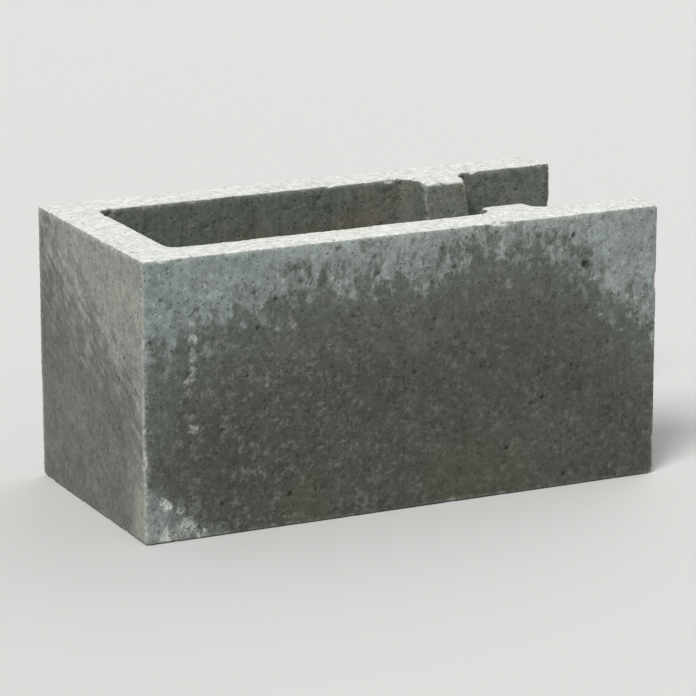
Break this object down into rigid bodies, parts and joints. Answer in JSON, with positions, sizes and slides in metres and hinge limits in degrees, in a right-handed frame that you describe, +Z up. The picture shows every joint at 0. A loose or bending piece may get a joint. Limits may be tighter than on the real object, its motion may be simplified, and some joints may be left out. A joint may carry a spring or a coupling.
{
  "type": "concrete formwork block",
  "caption": "Hollow concrete formwork block for the end of a dry-laid wall course, with a closed end, an open end, and a saddled cross web between a long chamber and an open bay.",
  "frame": {"origin": "middle of the lower bed, on the level that the block stands on", "axes": "+X along the block from its closed end to its open end, +Y through the wall from the face shell that the picture shows to the hidden one, +Z up"},
  "size_m": [0.5, 0.24, 0.25],
  "materials": {
    "concrete": "dry grey vibrated concrete, open-pored, matt, paler on the beds, with dark damp patches on the faces"
  },
  "bodies": {
    "root": {"formwork_block": "concrete"}
  },
  "joints": []
}
